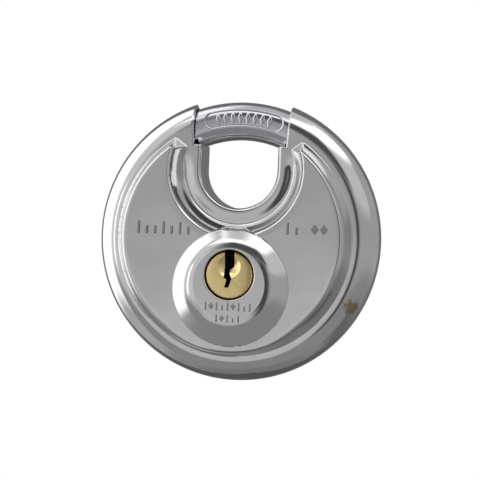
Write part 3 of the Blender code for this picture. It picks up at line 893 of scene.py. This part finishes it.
def bump(tree, height, strength, size):
    """A bump node, so that another one can be added under it."""
    node = add(tree, "ShaderNodeBump", Strength=strength, Distance=size)
    tree.links.new(height, node.inputs["Height"])
    return node


def tint(tree, shader, share, colour):
    """Turns the base colour towards another one by this share."""
    tone = shader.inputs["Base Color"].links[0].from_socket
    mix = add(tree, "ShaderNodeMix", data_type="RGBA")
    colours = [socket for socket in mix.inputs if socket.type == "RGBA"]
    colours[1].default_value = (*colour, 1)
    tree.links.new(share, mix.inputs["Factor"])
    tree.links.new(tone, colours[0])
    result = [socket for socket in mix.outputs if socket.type == "RGBA"][0]
    tree.links.new(result, shader.inputs["Base Color"])


def metal(name, dark, light, roughness, scratches, wave=0.0):
    """A metal with slow patches of tone, fine grain in its gloss, faint scratches and soft dents."""
    material = bpy.data.materials.new(name)
    material.use_nodes = True
    tree = material.node_tree
    shader = tree.nodes["Principled BSDF"]
    shader.inputs["Metallic"].default_value = 1.0
    place = object_place(tree)
    tone = add(tree, "ShaderNodeValToRGB")
    for stop, position, colour in zip(tone.color_ramp.elements, (0.35, 0.65), (dark, light)):
        stop.position, stop.color = position, (*colour, 1)
    tree.links.new(noise(tree, place, TONE_SCALE, 4.0, 0.6), tone.inputs["Fac"])
    tree.links.new(tone.outputs["Color"], shader.inputs["Base Color"])
    fine = noise(tree, place, GRAIN_SCALE, 3.0, 0.6)
    tree.links.new(ranged(tree, fine, (0.3, 0.7), roughness), shader.inputs["Roughness"])
    relief = bump(tree, fine, scratches, 0.2 * MM)
    dents = bump(tree, noise(tree, place, DENT_SCALE, 1.0, 0.5), 1.0, wave * MM)
    tree.links.new(relief.outputs["Normal"], dents.inputs["Normal"])
    tree.links.new(dents.outputs["Normal"], shader.inputs["Normal"])
    return material


def paint_keyway_shade(material, front, depth):
    """Painted shade in the keyway: the metal's colour goes dark a little way behind its front, where shade
    falls.
    """
    tree = material.node_tree
    split = add(tree, "ShaderNodeSeparateXYZ")
    tree.links.new(object_place(tree), split.inputs["Vector"])
    share = ranged(tree, split.outputs["Y"], (-front * MM, (depth - front) * MM))
    tint(tree, tree.nodes["Principled BSDF"], share, KEYWAY_PAINTED_SHADE)
    return material


def stain(material, spot, radius, colour):
    """A small dried stain with a ragged outline, where the metal has gone dull."""
    tree = material.node_tree
    shader = tree.nodes["Principled BSDF"]
    gloss = shader.inputs["Roughness"].links[0].from_socket
    place = object_place(tree)
    away = add(tree, "ShaderNodeVectorMath", operation="DISTANCE")
    tree.links.new(place, away.inputs[0])
    away.inputs[1].default_value = to_world([spot])[0]
    near = ranged(tree, away.outputs["Value"], (radius * MM, 0.0), (-0.4, 0.3))
    total = add(tree, "ShaderNodeMath", operation="ADD")
    tree.links.new(near, total.inputs[0])
    tree.links.new(noise(tree, place, RAGGED_SCALE, 4.0, 0.7), total.inputs[1])
    share = ranged(tree, total.outputs["Value"], (0.5, 0.62))
    tint(tree, shader, share, colour)
    dull = add(tree, "ShaderNodeMath", operation="MULTIPLY_ADD")
    dull.inputs[1].default_value = 0.3
    tree.links.new(share, dull.inputs[0])
    tree.links.new(gloss, dull.inputs[2])
    tree.links.new(dull.outputs["Value"], shader.inputs["Roughness"])
    return material


def make_materials():
    """One material for each slot of the record."""
    spot = (*polar(STAIN_RING, STAIN_ANGLE), STAIN_HEIGHT)
    sheet = metal("polished_stainless", (0.66, 0.645, 0.65), (0.72, 0.715, 0.71), (0.07, 0.12), 0.015, 0.11)
    brass = metal("cylinder_brass", (0.84, 0.66, 0.32), (0.92, 0.73, 0.37), (0.18, 0.3), 0.05)
    bar = metal("shackle_steel", (0.58, 0.57, 0.61), (0.66, 0.65, 0.68), (0.12, 0.2), 0.03)
    sintered = metal("sintered_steel", (0.30, 0.30, 0.31), (0.42, 0.42, 0.43), (0.5, 0.65), 0.3)
    hardened = metal("hardened_steel", (0.36, 0.36, 0.37), (0.46, 0.46, 0.47), (0.28, 0.4), 0.06)
    wire = metal("spring_wire", (0.5, 0.5, 0.51), (0.6, 0.6, 0.6), (0.2, 0.3), 0.04)
    return {
        "stainless_case": stain(sheet, spot, STAIN_R, STAIN_COLOUR),
        "hardened_shackle": bar,
        # The brass is painted dark a little way behind the plug's front, as shade in the keyway
        "cylinder_brass": paint_keyway_shade(brass, PLUG_TOP - 1.2, 0.9),
        "sintered_body": sintered,
        "hardened_steel": hardened,
        "spring_steel": wire,
    }


# ---------------------------------------------------------------- plug


def keyway_outline():
    """Wide at the top, then two jogs, in millimetres from the plug's axis."""
    right = [(1.16, 8.0), (1.16, 2.0), (0.08, 1.2), (0.0, 0.4), (0.67, -0.95), (-0.06, -3.05)]
    left = [(-1.04, -3.05), (-0.6, -1.15), (-1.26, -0.65), (-1.22, 1.4), (-1.2, 8.0)]
    return [(x, y + PLUG_Y) for x, y in right + left]


def plug_core(material):
    """The plug's front, with a broken edge, the dish that guides the key, and the keyway."""
    profile = [
        (0.0, PLUG_TOP),
        (PLUG_R - PLUG_CHAMFER - 0.1, PLUG_TOP),
        (PLUG_R - PLUG_CHAMFER, PLUG_TOP - 0.03),
        (PLUG_R - 0.08, PLUG_TOP - PLUG_CHAMFER),
        (PLUG_R, PLUG_TOP - PLUG_CHAMFER - 0.12),
        (PLUG_R, PLUG_BACK),
        (0.0, PLUG_BACK),
    ]
    core = object_from(turned(profile, 144, (0.0, PLUG_Y)), "plug_core")
    keyway = object_from(prism(keyway_outline(), PLUG_BACK + 1.0, PLUG_TOP + 2.0), "keyway")
    lift = math.sqrt(DISH_SPHERE_R**2 - DISH_R**2)
    middle = Matrix.Translation((DISH_PLACE[0], PLUG_Y + DISH_PLACE[1], PLUG_TOP + lift))
    ball = bmesh.new()
    bmesh.ops.create_uvsphere(ball, u_segments=96, v_segments=64, radius=DISH_SPHERE_R, matrix=middle)
    cut(core, object_from(ball, "dish"), keyway)
    core.data.materials.clear()
    core.data.materials.append(material)
    bevel(core, 0.05, 2, 32)
    dress(core, "plug", ["plug"])


# ---------------------------------------------------------------- studio


# The light tent round the lock: patches by azimuth and elevation in degrees, counted from
# the camera's side, each with a soft edge. Later patches cover earlier ones.
TENT = [
    ("paper_table", (-150, 112), (-66, 0), 16, 0.31),
    ("grey_card_right", (14, 126), (-14, 60), 12, 0.45),
    ("grey_card_top_right", (16, 78), (14, 60), 9, 0.68),
    ("ceiling", (-180, 180), (55, 100), 9, 0.66),
    ("front_curtain", (-34, -6), (-8, 15), 8, 0.45),
    ("front_curtain_low", (-34, -6), (-24, -0.5), 7, 0.62),
    ("left_curtain", (-86, -32), (-12, 50), 12, 0.76),
    ("left_skirt", (-160, -70), (-52, -20), 14, 0.50),
    ("lamp", (-56, -49), (-8, 13), 4, 2.2),
    ("left_softbox", (-164, -71), (-24, 76), 10, 1.55),
    ("top_strip", (-60, 92), (42, 67), 8, 1.5),
    ("over_lens_dark", (-24, 22), (18, 46), 9, 0.09),
    ("table_edge_right", (62, 140), (-54, -32), 18, 0.17),
    ("back_right_dark", (130, 224), (-100, 68), 10, 0.19),
    ("back_low_dark", (130, 225), (-100, -30), 20, 0.12),
    ("camera_stand", (-4, 6), (-20, 14), 5, 0.07),
]
TENT_BASE = 0.24


def tent_light(azimuth, elevation):
    """How bright the tent is in a direction."""
    light = np.full_like(azimuth, TENT_BASE)
    for _, (left, right), (low, high), soft, value in TENT:
        middle, half = (left + right) / 2, (right - left) / 2
        across = np.abs((azimuth - middle + 180) % 360 - 180) - half
        along = np.abs(elevation - (low + high) / 2) - (high - low) / 2
        share = step(0.5 * soft - across, soft) * step(0.5 * soft - along, soft)
        light = light * (1 - share) + value * share
    return light


def staged_glow(name, points, faces, material_name):
    """A glowing mesh of the studio's; returns it with its emission node, still to be set."""
    mesh = bpy.data.meshes.new(name)
    mesh.from_pydata(points, [], faces)
    material = bpy.data.materials.new(material_name)
    material.use_nodes = True
    tree = material.node_tree
    tree.nodes.clear()
    emission = add(tree, "ShaderNodeEmission", Strength=1.0)
    emission.inputs["Color"].default_value = (1, 1, 1, 1)
    out = add(tree, "ShaderNodeOutputMaterial")
    tree.links.new(emission.outputs["Emission"], out.inputs["Surface"])
    mesh.materials.append(material)
    obj = linked(name, mesh)
    return obj, tree, emission


def light_tent():
    """A glowing sphere round the lock, seen only in reflections."""
    columns, rows = 180, 91
    az = np.linspace(-180, 180, columns, endpoint=False)
    el = np.linspace(-90, 90, rows)
    grid_az, grid_el = np.meshgrid(az, el)
    turn, lift = np.radians(grid_az + CAMERA_AZIMUTH), np.radians(grid_el)
    level = np.cos(lift)
    points = TENT_R * np.stack([level * np.sin(turn), -level * np.cos(turn), np.sin(lift)], -1)
    faces = []
    for j in range(rows - 1):
        low, high = j * columns, (j + 1) * columns
        for i in range(columns):
            k = (i + 1) % columns
            faces.append((low + i, low + k, high + k, high + i))
    obj, tree, emission = staged_glow("light_tent", points.reshape(-1, 3).tolist(), faces, "tent_cloth")
    glow = obj.data.attributes.new("light", "FLOAT", "POINT")
    glow.data.foreach_set("value", tent_light(grid_az, grid_el).ravel())
    source = add(tree, "ShaderNodeAttribute", attribute_name="light")
    tree.links.new(source.outputs["Fac"], emission.inputs["Strength"])
    obj.location = (0, 0, CENTRE_Z * MM)
    obj.visible_camera = False
    obj.visible_shadow = False


def pale_floor():
    """A bright floor just under the lock, as white as the background, so that no edge shows."""
    half, height = FLOOR_HALF, CASE_LOW.z - FLOOR_GAP
    corners = [(x * half, y * half, height) for x, y in ((-1, -1), (1, -1), (1, 1), (-1, 1))]
    floor = staged_glow("floor", corners, [(0, 1, 2, 3)], "pale_floor")[0]
    floor.visible_glossy = False


def studio():
    """A white background, the light tent and the floor."""
    world = bpy.data.worlds.new("studio")
    bpy.context.scene.world = world
    world.use_nodes = True
    background = world.node_tree.nodes["Background"]
    background.inputs["Color"].default_value = (1, 1, 1, 1)
    background.inputs["Strength"].default_value = 1.0
    light_tent()
    pale_floor()


def camera():
    """A long lens on the keyway's side, rolled a little."""
    data = bpy.data.cameras.new("camera")
    data.lens = CAMERA_LENS
    data.sensor_width = 36
    cam = linked("camera", data)
    bpy.context.scene.camera = cam
    azimuth, elevation = math.radians(CAMERA_AZIMUTH), math.radians(CAMERA_ELEVATION)
    level = math.cos(elevation)
    way = Vector((math.sin(azimuth) * level, -math.cos(azimuth) * level, math.sin(elevation)))
    place = Vector((0, 0, CAMERA_AIM_Z)) + way * CAMERA_DISTANCE
    look = (-way).to_track_quat("-Z", "Y").to_matrix().to_4x4()
    roll = Matrix.Rotation(math.radians(CAMERA_ROLL), 4, "Z")
    cam.matrix_world = Matrix.Translation(place) @ look @ roll


# ---------------------------------------------------------------- assembly


def compress_springs():
    """Gives each spring that the record lists as deforming its own copy of its mesh."""
    for joint in frame["record"]["behaviour"]["joints"]:
        for entry in joint.get("deforming_nodes", []):
            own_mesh(frame["nodes"][entry["node"]])


def build():
    """Everything in the scene, on the frame's bodies."""
    bpy.context.scene.view_settings.view_transform = "Standard"
    camera()
    studio()
    materials = make_materials()
    slots = {entry["node"]: entry["material_slot"] for entry in frame["record"]["subparts"]}
    for node, obj in frame["nodes"].items():
        obj.data.materials.clear()
        obj.data.materials.append(materials[slots[node]])
    etched = metal("etched_stainless", (0.34, 0.33, 0.34), (0.42, 0.41, 0.42), (0.25, 0.35), 0.1)
    pressed_half("case_front", True, materials["stainless_case"], ["front_shell"])
    pressed_half("case_back", False, materials["stainless_case"], ["back_shell"])
    marks(etched)
    shackle_bar(materials["hardened_shackle"])
    plug_core(materials["cylinder_brass"])
    compress_springs()


build()
